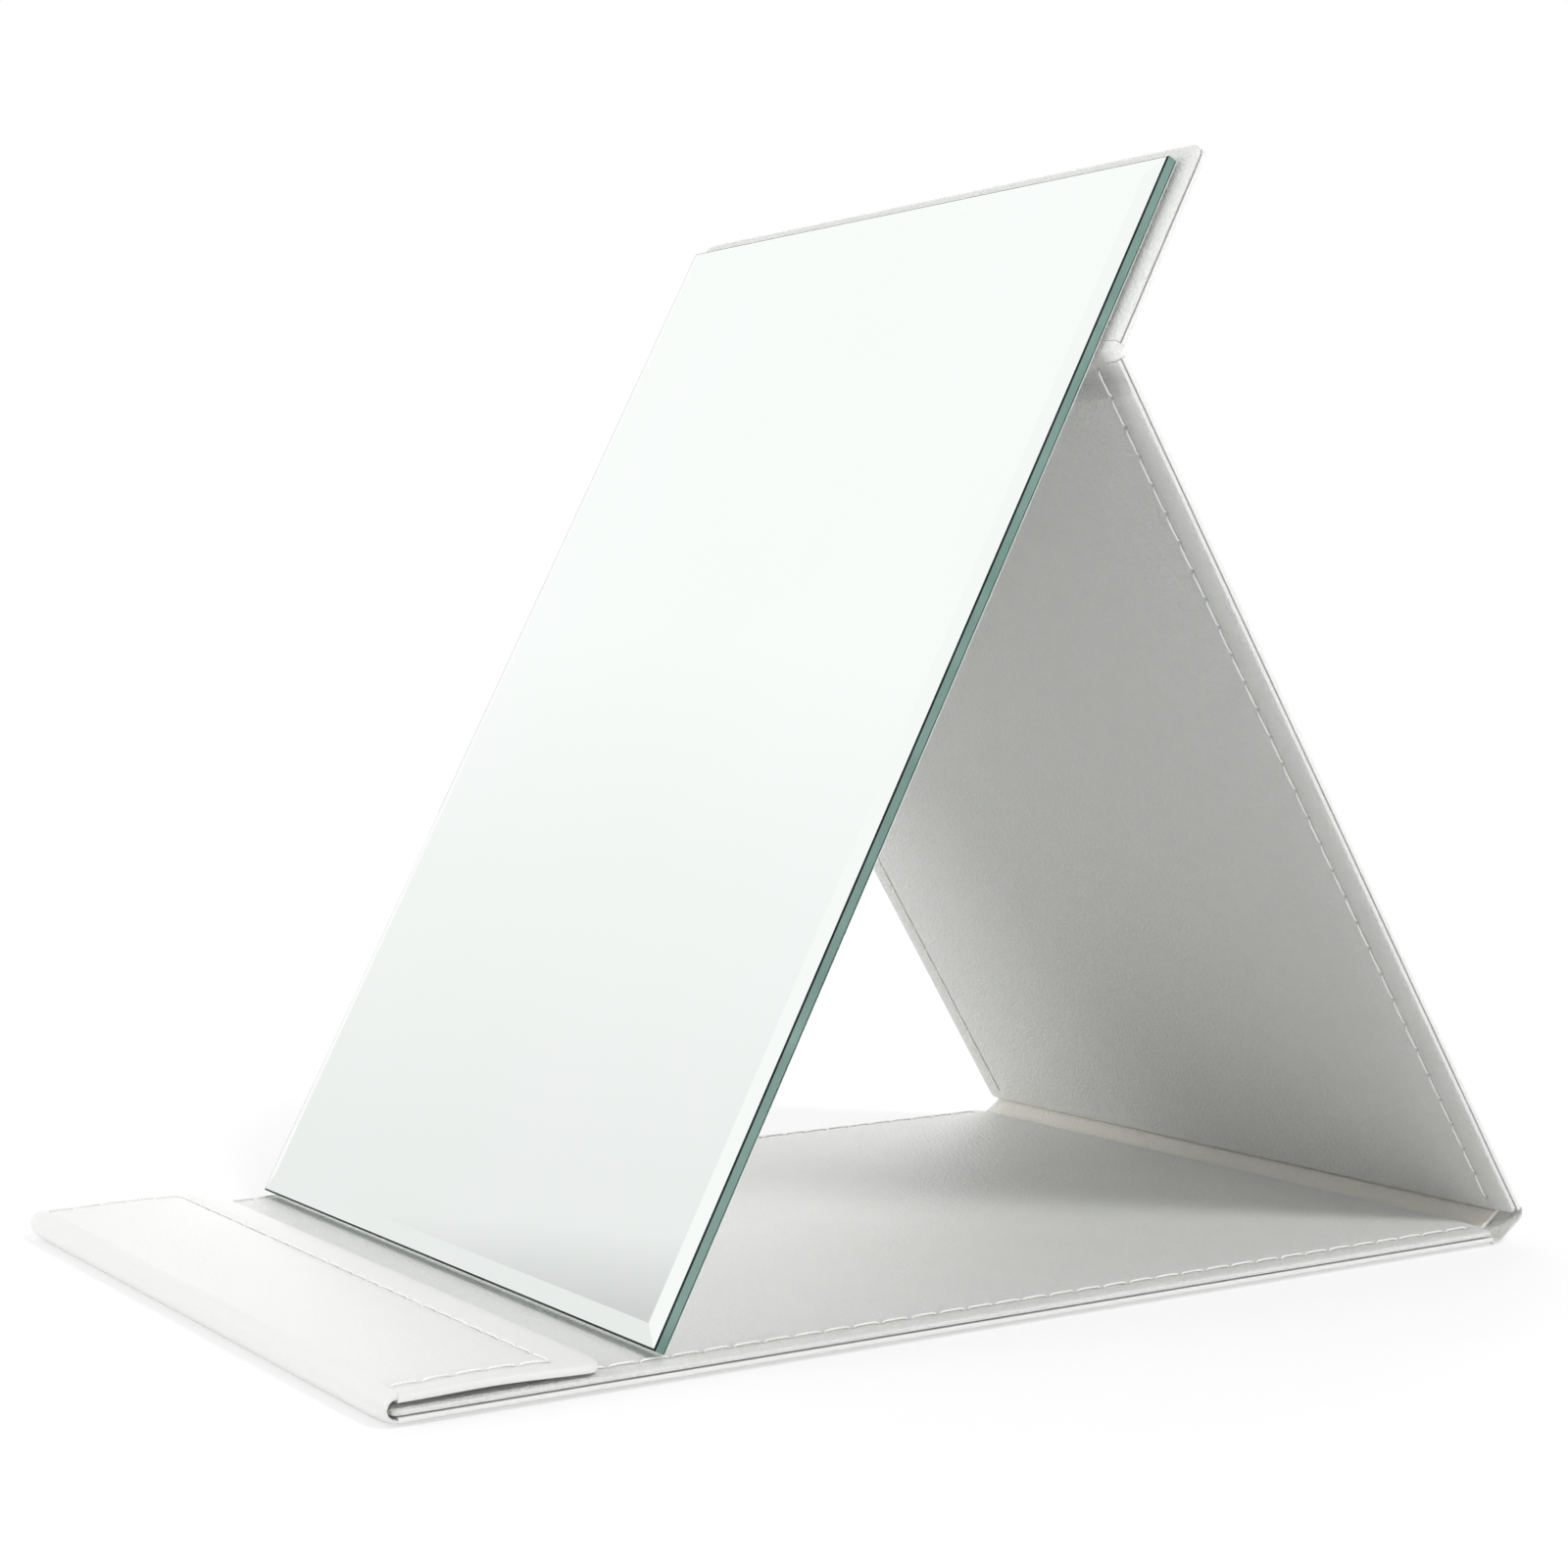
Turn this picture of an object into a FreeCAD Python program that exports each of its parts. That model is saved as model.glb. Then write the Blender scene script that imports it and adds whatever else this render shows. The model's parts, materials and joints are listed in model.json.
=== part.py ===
"""Folding tabletop makeup mirror: a leather folio that stands up as a tent.

The cover is one chain of panels: flap, front spine, base, rear spine, leg and top strip. The mirror is taped
to the top strip alone, so its lower end swings off the leg and stands on the base behind the folded flap.

X is the width, Y runs from front to rear and Z is up, with the origin under the middle of the standing part.
Each panel has a frame of its own: X along the width, Y along the panel and Z from its outer skin inwards.
"""

import FreeCAD
import Part
import math
import os
import Sketcher

Vector = FreeCAD.Vector

# Driving sizes in millimetres and degrees
SIZES = {
    "cover_width": 170.0,  # of every panel
    "folio_length": 226.7,  # from the leg's lower fold to the free edge of the top strip
    "top_length": 41.2,  # of the top strip, from the fold above the leg
    "base_inset": 3.2,  # the base panel is this much shorter than the folio
    "flap_length": 35.5,
    "skin_thickness": 0.75,
    "lining_thickness": 0.75,
    "board_thickness": 1.8,
    "card_thickness": 0.5,  # of the flap's stiffener
    "rim_width": 5.0,  # of the turned edge on a free side
    "fold_rim": 2.0,  # of the glued edge beside a fold
    "board_clearance": 0.2,  # around a board in its pocket
    "edge_radius": 0.6,  # of a turned edge
    "corner_radius": 2.0,  # of a free corner
    "fold_radius": 0.9,  # of the leather roll at a spine's fold
    "fold_clearance": 0.3,  # between a roll and the panel that turns about it
    "front_fold_reach": 1.95,  # from the base panel to the first fold of the front spine
    "rear_fold_reach": 1.5,  # from the base panel to the first fold of the rear spine
    "flap_gap": 0.4,  # between the folded flap and the base
    "spine_length": 7.4,  # of the rear spine, between its folds
    "spine_angle": 35.6,  # of the rear spine above the table
    "top_fold_gap": 2.2,  # from the fold above the leg to the panel on each side of it
    "foot_margin": 2.3,  # from the leg's lower fold to the glass, with the mirror folded flat
    "top_margin": 4.0,  # from the glass to the free edge of the top strip
    "side_margin": 3.0,  # from the glass to the side of the cover
    "foot_setback": 12.6,  # from the flap's edge back to the foot of the mirror
    "foot_clearance": 0.3,  # under the foot of the mirror
    "glass_thickness": 2.8,
    "bevel_width": 5.0,
    "bevel_depth": 0.75,
    "backing_thickness": 0.12,
    "tape_thickness": 0.5,
    "tape_inset": 3.0,  # from a tape strip to the edge of what it joins
    "tape_gap": 4.0,  # between the two tape strips
    "magnet_length": 20.0,
    "magnet_width": 10.0,
    "magnet_spread": 90.0,  # between the middles of the two magnets
    "magnet_inset": 12.0,  # from the free edge of the flap to the magnets
    "keeper_thickness": 0.5,
    "stitch_inset": 4.0,  # from the side of the cover to the row of thread
    "leg_stitch_inset": 5.5,  # the same on the leg
    "flap_row_inset": 7.5,  # from the free edge of the flap to the row of thread along it
    "stitch_length": 4.4,
    "stitch_pitch": 5.8,
    "thread_width": 0.6,
    "thread_height": 0.12,
}

doc = FreeCAD.newDocument("FoldingMirror")
sheet = doc.addObject("Spreadsheet::Sheet", "Sizes")
for row, (alias, number) in enumerate(SIZES.items(), start=1):
    sheet.set(f"A{row}", alias)
    sheet.set(f"B{row}", str(number))
    sheet.setAlias(f"B{row}", alias)
doc.recompute()


def value(expression):
    """The number that an expression on the sheet's cells gives."""
    return float(sheet.evalExpression(expression))


# Sizes that follow from the driving ones
HALF_WIDTH = "(Sizes.cover_width / 2)"
BASE_LENGTH = "(Sizes.folio_length - Sizes.base_inset)"
LEG_LENGTH = "(Sizes.folio_length - Sizes.top_length)"
SKIN = "Sizes.skin_thickness"
LINING = "Sizes.lining_thickness"
BOARD = "Sizes.board_thickness"
CARD = "Sizes.card_thickness"
PANEL = f"({SKIN} + {BOARD} + {LINING})"
FLAP = f"({SKIN} + {CARD} + {LINING})"
FOLD_START = "(Sizes.fold_radius + Sizes.fold_clearance)"
FRONT_SPINE = f"({PANEL} + Sizes.flap_gap + {FLAP} - 2 * Sizes.fold_radius)"
FLAP_REACH = f"({FOLD_START} + Sizes.flap_length)"
TOP_FOLD_RADIUS = f"({LINING} / 2)"
TOP_FOLD_DEPTH = f"({PANEL} - {TOP_FOLD_RADIUS})"
GLASS_FOOT = f"({LEG_LENGTH} - Sizes.foot_margin)"
GLASS_TOP = "(Sizes.top_length - Sizes.top_margin)"
HALF_GLASS = f"({HALF_WIDTH} - Sizes.side_margin)"
GLASS_BACK = f"({PANEL} + Sizes.tape_thickness)"


def panel_frame(fold, angle, depth):
    """Places a panel whose fold line, a point in Y and Z, lies at this depth above its outer skin."""
    turn = FreeCAD.Rotation(Vector(1, 0, 0), angle)
    origin = Vector(0, fold[0], fold[1]) - turn.multVec(Vector(0, 0, depth))
    return FreeCAD.Placement(origin, turn)


def along(point, angle, distance):
    """The point in Y and Z at this distance from another, in the direction of an angle in degrees."""
    turn = math.radians(angle)
    return (point[0] + distance * math.cos(turn), point[1] + distance * math.sin(turn))


def angle_to(point, other):
    """The direction in degrees from one point in Y and Z to another."""
    return math.degrees(math.atan2(other[1] - point[1], other[0] - point[0]))


# The fold lines at rest, from the front of the cover to the rear
fold_radius = value("Sizes.fold_radius")
spine_angle = value("Sizes.spine_angle")
front_reach = value("Sizes.front_fold_reach") + fold_radius
spine_run = value("Sizes.spine_length") * math.cos(math.radians(spine_angle))
rear_reach = value(f"{BASE_LENGTH} + Sizes.rear_fold_reach") + spine_run + fold_radius
base_front = (front_reach - rear_reach) / 2
base_rear = base_front + value(BASE_LENGTH)
front_lower_fold = (base_front - value("Sizes.front_fold_reach"), fold_radius)
front_upper_fold = along(front_lower_fold, 90, value(FRONT_SPINE))
rear_lower_fold = (base_rear + value("Sizes.rear_fold_reach"), fold_radius)
rear_upper_fold = along(rear_lower_fold, spine_angle, value("Sizes.spine_length"))

# The standing triangle: leg and mirror meet at the top fold, and the mirror's foot stands behind the flap
flap_edge = front_upper_fold[0] + value(FLAP_REACH)
foot = (flap_edge + value("Sizes.foot_setback"), value(f"{PANEL} + Sizes.foot_clearance"))
leg_run = value(LEG_LENGTH)
leg_offset = value(f"{TOP_FOLD_DEPTH} - Sizes.fold_radius")
mirror_run = value(GLASS_FOOT)
mirror_offset = value(f"{GLASS_BACK} - {TOP_FOLD_DEPTH}")
leg_side = math.hypot(leg_run, leg_offset)
mirror_side = math.hypot(mirror_run, mirror_offset)
ground_side = math.dist(rear_upper_fold, foot)
foot_corner = math.degrees(
    math.acos((ground_side**2 + mirror_side**2 - leg_side**2) / (2 * ground_side * mirror_side))
)
foot_to_fold = angle_to(foot, rear_upper_fold) + foot_corner
top_fold = along(foot, foot_to_fold, mirror_side)
leg_angle = angle_to(rear_upper_fold, top_fold) - math.degrees(math.atan2(leg_offset, leg_run))
mirror_angle = foot_to_fold + math.degrees(math.atan2(mirror_offset, mirror_run))

BASE = panel_frame((base_front, 0), 0, 0)
FRONT_SPINE_FRAME = panel_frame(front_lower_fold, -90, fold_radius)
FLAP_FRAME = panel_frame(front_upper_fold, -180, fold_radius)
REAR_SPINE_FRAME = panel_frame(rear_lower_fold, spine_angle, fold_radius)
LEG = panel_frame(rear_upper_fold, leg_angle, fold_radius)
TOP = panel_frame(top_fold, mirror_angle, value(TOP_FOLD_DEPTH))

sub_parts = []


def new_body(label, frame):
    """A sub-part that sits in a panel's frame."""
    body = doc.addObject("PartDesign::Body", label)
    body.Label = label
    body.Placement = frame
    sub_parts.append(body)
    return body


def new_sketch(body, role, offset=None):
    """A sketch on one of the body's origin planes, raised by an offset."""
    plane = next(feature for feature in body.Origin.OriginFeatures if feature.Role == role)
    sketch = body.newObject("Sketcher::SketchObject", "Sketch")
    sketch.AttachmentSupport = [(plane, "")]
    sketch.MapMode = "FlatFace"
    if offset:
        sketch.setExpression("AttachmentOffset.Base.z", offset)
    return sketch


def bind(sketch, kind, geometry, point, name, expression):
    """Ties one coordinate of a sketch's point to an expression."""
    index = sketch.addConstraint(Sketcher.Constraint(kind, -1, 1, geometry, point, value(expression)))
    sketch.renameConstraint(index, name)
    sketch.setExpression("Constraints." + name, expression)


def rectangle(sketch, left, right, low, high):
    """Adds a rectangle whose four sides are bound to expressions."""
    first = sketch.GeometryCount
    corners = ((left, low), (right, low), (right, high), (left, high))
    points = [Vector(value(x), value(y), 0) for x, y in corners]
    for index in range(4):
        sketch.addGeometry(Part.LineSegment(points[index], points[(index + 1) % 4]))
    for index in range(4):
        sketch.addConstraint(Sketcher.Constraint("Coincident", first + index, 2, first + (index + 1) % 4, 1))
        side = "Vertical" if index % 2 else "Horizontal"
        sketch.addConstraint(Sketcher.Constraint(side, first + index))
    bind(sketch, "DistanceX", first, 1, f"left_{first}", left)
    bind(sketch, "DistanceY", first, 1, f"low_{first}", low)
    bind(sketch, "DistanceX", first + 2, 1, f"right_{first}", right)
    bind(sketch, "DistanceY", first + 2, 1, f"high_{first}", high)


def pad(body, sketch, length, symmetric=False):
    """Raises a sketch to a solid."""
    feature = body.newObject("PartDesign::Pad", "Pad")
    feature.Profile = sketch
    feature.setExpression("Length", length)
    if symmetric:
        feature.SideType = "Symmetric"
    doc.recompute()
    return feature


def pocket(body, sketch, depth, upwards=False):
    """Sinks a sketch into the body, and makes sure that it took material away."""
    before = body.Shape.Volume
    feature = body.newObject("PartDesign::Pocket", "Pocket")
    feature.Profile = sketch
    feature.setExpression("Length", depth)
    feature.Reversed = upwards
    doc.recompute()
    if body.Shape.Volume >= before:
        raise RuntimeError(f"the pocket of {body.Label} cuts nothing")
    return feature


def slab(body, low, high, bottom, thickness, half_width=HALF_WIDTH):
    """A flat plate across the width, between two places along the panel."""
    sketch = new_sketch(body, "XY_Plane", bottom)
    rectangle(sketch, f"-{half_width}", half_width, low, high)
    return pad(body, sketch, thickness)


def fold_roll(body, place, depth, radius):
    """The leather roll along a fold, round about the fold line."""
    sketch = new_sketch(body, "YZ_Plane")
    centre = Vector(value(place), value(depth), 0)
    sketch.addGeometry(Part.Circle(centre, Vector(0, 0, 1), value(radius)))
    bind(sketch, "DistanceX", 0, 3, "place", place)
    bind(sketch, "DistanceY", 0, 3, "depth", depth)
    index = sketch.addConstraint(Sketcher.Constraint("Radius", 0, value(radius)))
    sketch.renameConstraint(index, "radius")
    sketch.setExpression("Constraints.radius", radius)
    return pad(body, sketch, "Sizes.cover_width", symmetric=True)


def fillet(body, radius, wanted):
    """Rounds the edges of the body's last feature whose two ends and middle all pass a test."""
    base = body.Tip
    shape = base.Shape
    names = []
    for number, edge in enumerate(shape.Edges, start=1):
        middle = edge.valueAt((edge.FirstParameter + edge.LastParameter) / 2)
        if all(wanted(point) for point in [middle] + [vertex.Point for vertex in edge.Vertexes]):
            names.append(f"Edge{number}")
    feature = body.newObject("PartDesign::Fillet", "Fillet")
    feature.Base = (base, names)
    feature.setExpression("Radius", radius)
    doc.recompute()
    return feature


def near(first, second):
    """True where two numbers are the same length."""
    return abs(first - second) < 1e-4


def turned_sheet(label, frame, low, high, core, lining, free_end=None):
    """One leather sheet of a panel, with its turned edges standing round half of the board's pocket.

    The cover is the lower half and the lining the upper one. They meet half way up the board, which is the
    seam that shows along the sides. free_end is the end of the panel that isn't at a fold, "low" or "high".
    """
    body = new_body(label, frame)
    sheet_thickness = LINING if lining else SKIN
    seam = f"({SKIN} + {core} / 2)"
    face = value(f"{SKIN} + {core} + {LINING}") if lining else 0
    slab(body, low, high, seam if lining else "0", f"{sheet_thickness} + {core} / 2")
    half_width = value(HALF_WIDTH)
    free_place = value({"low": low, "high": high}[free_end]) if free_end else None
    corner = value("Sizes.corner_radius")
    if free_end:
        fillet(
            body,
            "Sizes.corner_radius",
            lambda point: near(abs(point.x), half_width) and near(point.y, free_place),
        )

    def on_turned_edge(point):
        at_side = near(abs(point.x), half_width)
        at_end = free_end and near(point.y, free_place)
        at_corner = free_end and abs(point.y - free_place) < corner and abs(point.x) > half_width - corner
        return near(point.z, face) and (at_side or at_end or at_corner)

    fillet(body, "Sizes.edge_radius", on_turned_edge)
    sketch = new_sketch(body, "XY_Plane", seam)
    rectangle(sketch, *pocket_outline(low, high, free_end))
    pocket(body, sketch, f"{core} / 2", upwards=lining)
    return body


def pocket_outline(low, high, free_end, clearance="0"):
    """The sides of the pocket that the board lies in, less a clearance."""
    side = f"({HALF_WIDTH} - Sizes.rim_width - {clearance})"
    low_rim = "Sizes.rim_width" if free_end == "low" else "Sizes.fold_rim"
    high_rim = "Sizes.rim_width" if free_end == "high" else "Sizes.fold_rim"
    return f"-{side}", side, f"{low} + {low_rim} + {clearance}", f"{high} - {high_rim} - {clearance}"


def stiffener(label, frame, low, high, core, free_end=None):
    """The board or card that lies in a panel's pocket."""
    body = new_body(label, frame)
    sketch = new_sketch(body, "XY_Plane", SKIN)
    rectangle(sketch, *pocket_outline(low, high, free_end, "Sizes.board_clearance"))
    pad(body, sketch, core)
    return body


def magnet_outlines(middle):
    """The outlines of the two magnets, side by side across the panel."""
    for side in ("-1", "1"):
        across = f"({side} * Sizes.magnet_spread / 2)"
        yield (
            f"{across} - Sizes.magnet_length / 2",
            f"{across} + Sizes.magnet_length / 2",
            f"{middle} - Sizes.magnet_width / 2",
            f"{middle} + Sizes.magnet_width / 2",
        )


def plates(label, frame, outlines, bottom, thickness):
    """A group of separate flat plates in one panel."""
    boxes = []
    for left, right, low, high in outlines:
        box = doc.addObject("Part::Box", label + "_plate")
        box.setExpression("Length", f"({right}) - ({left})")
        box.setExpression("Width", f"({high}) - ({low})")
        box.setExpression("Height", thickness)
        box.setExpression("Placement.Base.x", left)
        box.setExpression("Placement.Base.y", low)
        box.setExpression("Placement.Base.z", bottom)
        boxes.append(box)
    group = doc.addObject("Part::Compound", label)
    group.Label = label
    group.Links = boxes
    group.Placement = frame
    sub_parts.append(group)
    doc.recompute()


def stitch_places(low, high):
    """Middles of the stitches in a row between two places, evenly spaced about its middle."""
    pitch = value("Sizes.stitch_pitch")
    count = int((high - low) / pitch)
    first = (low + high - (count - 1) * pitch) / 2
    return [first + index * pitch for index in range(count)]


def stitching(label, frame, low, high, faces, end_row=None, inset="Sizes.stitch_inset"):
    """The thread along both sides of a panel, and along one end where there is a row.

    Each stitch is a short flat bar that lies on the leather. faces are the depths where the bars start.
    """
    length = value("Sizes.stitch_length")
    width = value("Sizes.thread_width")
    height = value("Sizes.thread_height")
    across = value(f"{HALF_WIDTH} - {inset}")
    bars = []
    for bottom in faces:
        for place in stitch_places(low, high):
            for side in (-across, across):
                corner = Vector(side - width / 2, place - length / 2, bottom)
                bars.append(Part.makeBox(width, length, height, corner))
        if end_row is not None:
            for place in stitch_places(-across + length / 2, across - length / 2):
                corner = Vector(place - length / 2, end_row - width / 2, bottom)
                bars.append(Part.makeBox(length, width, height, corner))
    thread = doc.addObject("Part::Feature", label)
    thread.Label = label
    thread.Shape = Part.makeCompound(bars)
    thread.Placement = frame
    sub_parts.append(thread)


thread_height = value("Sizes.thread_height")
fold_start = value(FOLD_START)
panel_thickness = value(PANEL)

# Base: the panel that lies on the table, with a fold roll at each end of its cover
base_cover = turned_sheet("base_cover", BASE, "0", BASE_LENGTH, BOARD, lining=False)
front_place = "-Sizes.front_fold_reach"
rear_place = f"({BASE_LENGTH} + Sizes.rear_fold_reach)"
slab(base_cover, front_place, "0", "0", SKIN)
slab(base_cover, BASE_LENGTH, rear_place, "0", SKIN)
fold_roll(base_cover, front_place, "Sizes.fold_radius", "Sizes.fold_radius")
fold_roll(base_cover, rear_place, "Sizes.fold_radius", "Sizes.fold_radius")
stiffener("base_board", BASE, "0", BASE_LENGTH, BOARD)
turned_sheet("base_lining", BASE, "0", BASE_LENGTH, BOARD, lining=True)
stitching("base_stitching", BASE, 0, value(BASE_LENGTH), [panel_thickness])

# Front spine: the soft strip that carries the flap round onto the base
front_spine_cover = new_body("front_spine_cover", FRONT_SPINE_FRAME)
slab(front_spine_cover, f"-{FRONT_SPINE}", f"-{FOLD_START}", "0", SKIN)
fold_roll(front_spine_cover, f"-{FRONT_SPINE}", "Sizes.fold_radius", "Sizes.fold_radius")
front_spine_lining = new_body("front_spine_lining", FRONT_SPINE_FRAME)
slab(front_spine_lining, f"-{FRONT_SPINE} + Sizes.fold_radius", f"-{FOLD_START}", SKIN, LINING)

# Flap: the short panel that closes the folio, folded back on the base
flap_span = (f"-{FLAP_REACH}", f"-{FOLD_START}")
flap_middle = f"(-{FLAP_REACH} + Sizes.magnet_inset + Sizes.magnet_width / 2)"
turned_sheet("flap_cover", FLAP_FRAME, *flap_span, CARD, lining=False, free_end="low")
flap_board = stiffener("flap_board", FLAP_FRAME, *flap_span, CARD, free_end="low")
window = new_sketch(flap_board, "XY_Plane", f"({SKIN} + {CARD})")
for outline in magnet_outlines(flap_middle):
    rectangle(window, *outline)
pocket(flap_board, window, CARD)
turned_sheet("flap_lining", FLAP_FRAME, *flap_span, CARD, lining=True, free_end="low")
plates("flap_magnets", FLAP_FRAME, magnet_outlines(flap_middle), SKIN, CARD)
flap_row = value(f"-{FLAP_REACH} + Sizes.flap_row_inset")
stitching("flap_stitching", FLAP_FRAME, flap_row, -fold_start, [-thread_height], flap_row)

# Rear spine: the soft strip that joins the base to the leg
rear_spine_cover = new_body("rear_spine_cover", REAR_SPINE_FRAME)
slab(rear_spine_cover, FOLD_START, "Sizes.spine_length", "0", SKIN)
fold_roll(rear_spine_cover, "Sizes.spine_length", "Sizes.fold_radius", "Sizes.fold_radius")
rear_spine_lining = new_body("rear_spine_lining", REAR_SPINE_FRAME)
slab(rear_spine_lining, FOLD_START, "Sizes.spine_length - Sizes.fold_radius", SKIN, LINING)

# Leg: the long panel behind the mirror, whose lining runs on into the fold above it
leg_end = f"({LEG_LENGTH} - Sizes.top_fold_gap)"
leg_span = (FOLD_START, leg_end)
turned_sheet("leg_cover", LEG, *leg_span, BOARD, lining=False)
stiffener("leg_board", LEG, *leg_span, BOARD)
leg_lining = turned_sheet("leg_lining", LEG, *leg_span, BOARD, lining=True)
slab(leg_lining, leg_end, LEG_LENGTH, f"({PANEL} - {LINING})", LINING)
fold_roll(leg_lining, LEG_LENGTH, TOP_FOLD_DEPTH, TOP_FOLD_RADIUS)
leg_faces = [-thread_height, panel_thickness]
stitching("leg_stitching", LEG, fold_start, value(leg_end), leg_faces, inset="Sizes.leg_stitch_inset")

# Top strip: the short panel above the leg, which alone holds the mirror
top_span = ("Sizes.top_fold_gap", "Sizes.top_length")
top_middle = "(Sizes.top_length - Sizes.magnet_inset - Sizes.magnet_width / 2)"
turned_sheet("top_cover", TOP, *top_span, BOARD, lining=False, free_end="high")
top_board = stiffener("top_board", TOP, *top_span, BOARD, free_end="high")
recess = new_sketch(top_board, "XY_Plane", SKIN)
for outline in magnet_outlines(top_middle):
    rectangle(recess, *outline)
pocket(top_board, recess, "Sizes.keeper_thickness", upwards=True)
top_lining = turned_sheet("top_lining", TOP, *top_span, BOARD, lining=True, free_end="high")
tongue_start = f"({TOP_FOLD_RADIUS} + Sizes.fold_clearance)"
slab(top_lining, tongue_start, "Sizes.top_fold_gap", f"({PANEL} - {LINING})", LINING)
plates("top_keepers", TOP, magnet_outlines(top_middle), SKIN, "Sizes.keeper_thickness")
top_row = value("Sizes.top_length - Sizes.stitch_inset")
stitching("top_stitching", TOP, value("Sizes.top_fold_gap"), top_row, [-thread_height], top_row)

# Mirror: two tape strips on the top strip, the back paint and the bevelled glass
tape_side = f"({HALF_GLASS} - Sizes.tape_inset)"
tape_low = "(Sizes.top_fold_gap + Sizes.tape_inset)"
tape_high = f"({GLASS_TOP} - Sizes.tape_inset)"
tape_width = f"(({tape_high} - {tape_low} - Sizes.tape_gap) / 2)"
tape_strips = [
    (f"-{tape_side}", tape_side, tape_low, f"{tape_low} + {tape_width}"),
    (f"-{tape_side}", tape_side, f"{tape_high} - {tape_width}", tape_high),
]
plates("mounting_tape", TOP, tape_strips, PANEL, "Sizes.tape_thickness")
backing = new_body("mirror_backing", TOP)
slab(backing, f"-{GLASS_FOOT}", GLASS_TOP, GLASS_BACK, "Sizes.backing_thickness", HALF_GLASS)
glass = new_body("mirror_glass", TOP)
glass_bottom = f"({GLASS_BACK} + Sizes.backing_thickness)"
edge_thickness = "(Sizes.glass_thickness - Sizes.bevel_depth)"
bevel_bottom = f"({glass_bottom} + {edge_thickness})"
slab(glass, f"-{GLASS_FOOT}", GLASS_TOP, glass_bottom, edge_thickness, HALF_GLASS)
bevel_outer = new_sketch(glass, "XY_Plane", bevel_bottom)
rectangle(bevel_outer, f"-{HALF_GLASS}", HALF_GLASS, f"-{GLASS_FOOT}", GLASS_TOP)
bevel_inner = new_sketch(glass, "XY_Plane", f"({bevel_bottom} + Sizes.bevel_depth)")
rectangle(
    bevel_inner,
    f"-({HALF_GLASS} - Sizes.bevel_width)",
    f"({HALF_GLASS} - Sizes.bevel_width)",
    f"-({GLASS_FOOT} - Sizes.bevel_width)",
    f"({GLASS_TOP} - Sizes.bevel_width)",
)
bevel = glass.newObject("PartDesign::AdditiveLoft", "Bevel")
bevel.Profile = bevel_outer
bevel.Sections = [bevel_inner]
doc.recompute()

# Everything is checked before anything is written
for item in doc.Objects:
    if {"Invalid", "Error"} & set(item.State):
        raise RuntimeError(f"{item.Label} failed: {item.State}")
for part in sub_parts:
    if part.Shape.isNull() or not part.Shape.isValid():
        raise RuntimeError(f"{part.Label} has no valid shape")

os.makedirs("parts", exist_ok=True)
for part in sub_parts:
    part.Shape.exportStep(f"parts/{part.Label}.step")

print("fold lines in Y and Z:")
for name, fold in (
    ("front lower", front_lower_fold),
    ("front upper", front_upper_fold),
    ("rear lower", rear_lower_fold),
    ("rear upper", rear_upper_fold),
    ("top", top_fold),
):
    print(f"  {name}: {fold[0]:.4f}, {fold[1]:.4f}")
print(f"leg at {leg_angle:.3f} degrees, mirror at {mirror_angle:.3f} degrees")
print(f"foot at {foot[0]:.3f}, {foot[1]:.3f}, flap edge at {flap_edge:.3f}, base from {base_front:.3f}")
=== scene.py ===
import json
import math

import bmesh
import bpy
import numpy as np
from mathutils import Matrix, Vector, noise


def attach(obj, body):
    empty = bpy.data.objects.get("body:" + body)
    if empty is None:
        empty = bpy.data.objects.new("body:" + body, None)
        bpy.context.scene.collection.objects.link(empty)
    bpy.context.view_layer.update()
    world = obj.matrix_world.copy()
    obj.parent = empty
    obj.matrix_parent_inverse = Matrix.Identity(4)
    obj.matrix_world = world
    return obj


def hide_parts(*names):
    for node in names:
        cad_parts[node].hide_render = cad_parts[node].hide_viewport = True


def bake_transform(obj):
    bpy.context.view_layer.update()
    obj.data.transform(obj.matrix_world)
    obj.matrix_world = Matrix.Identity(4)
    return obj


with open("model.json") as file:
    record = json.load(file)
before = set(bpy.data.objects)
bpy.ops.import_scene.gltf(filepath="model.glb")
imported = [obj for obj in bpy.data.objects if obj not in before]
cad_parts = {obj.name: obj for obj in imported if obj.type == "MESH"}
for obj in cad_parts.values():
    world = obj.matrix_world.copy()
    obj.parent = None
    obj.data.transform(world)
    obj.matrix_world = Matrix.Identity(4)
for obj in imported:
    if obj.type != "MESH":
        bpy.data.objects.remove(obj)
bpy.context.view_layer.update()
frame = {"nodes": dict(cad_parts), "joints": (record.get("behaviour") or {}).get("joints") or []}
mm = 0.001

# Base cover
# The outer skin of the panel that lies on the table: white coated fabric, glued under a stiff board.
# Its long sides are turned in at the board's edge, where they meet the turned sides of the lining.


def panel_lie(flat_node, along):
    """A panel's own frame, from a flat node in it: X across, Y along, Z from its outer skin inwards."""
    corners = np.array([v.co for v in frame["nodes"][flat_node].data.vertices])
    middle = corners.mean(axis=0)
    axes = np.linalg.eigh(np.cov((corners - middle)[:, 1:].T))[1]
    run = Vector((0, *axes[:, 1]))
    if run.dot(Vector(along)) < 0:
        run.negate()
    across = Vector((1, 0, 0))
    lie = Matrix((across, run, across.cross(run))).transposed().to_4x4()
    lie.translation = middle
    return lie


def reach(node, lie):
    """Lowest and highest corner of a node, in a panel's frame."""
    into_panel = lie.inverted()
    corners = np.array([into_panel @ v.co for v in frame["nodes"][node].data.vertices])
    return Vector(corners.min(axis=0)), Vector(corners.max(axis=0))


same_length = 0.001 * mm


def near(first, second):
    """True where two lengths are the same."""
    return abs(first - second) < same_length


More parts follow.
